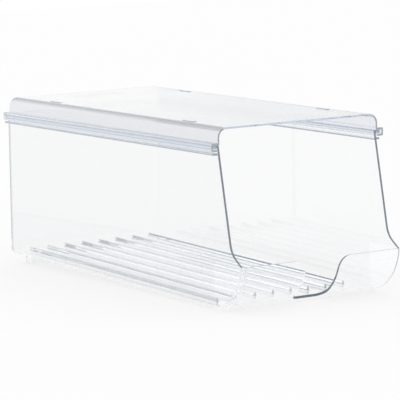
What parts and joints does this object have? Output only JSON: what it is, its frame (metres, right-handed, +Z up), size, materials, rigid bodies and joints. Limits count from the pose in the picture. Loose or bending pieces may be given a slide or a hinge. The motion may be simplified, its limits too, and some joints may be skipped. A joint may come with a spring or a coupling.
{
  "type": "fridge drawer organizer",
  "caption": "Clear fridge organizer: an open-topped bin with a scooped, notched lip and ribbed sloping floor slides like a drawer under a hood-shaped cover.",
  "frame": {"origin": "on the shelf, below the middle of the organizer's width and depth", "axes": "+X to the right seen from the open mouth, +Y to the back wall, +Z up"},
  "size_m": [0.1788, 0.3739, 0.154],
  "materials": {
    "bin_plastic": "clear, faint blue tint, polished",
    "cover_plastic": "clear, faint blue tint, polished"
  },
  "bodies": {
    "bin": {"bin": "bin_plastic"},
    "cover": {"cover": "cover_plastic"}
  },
  "joints": [
    {"name": "cover_slide", "type": "slide", "parent": "bin", "child": "cover", "axis": [0, 1, 0], "range_m": [-0.3, 0.3]}
  ]
}
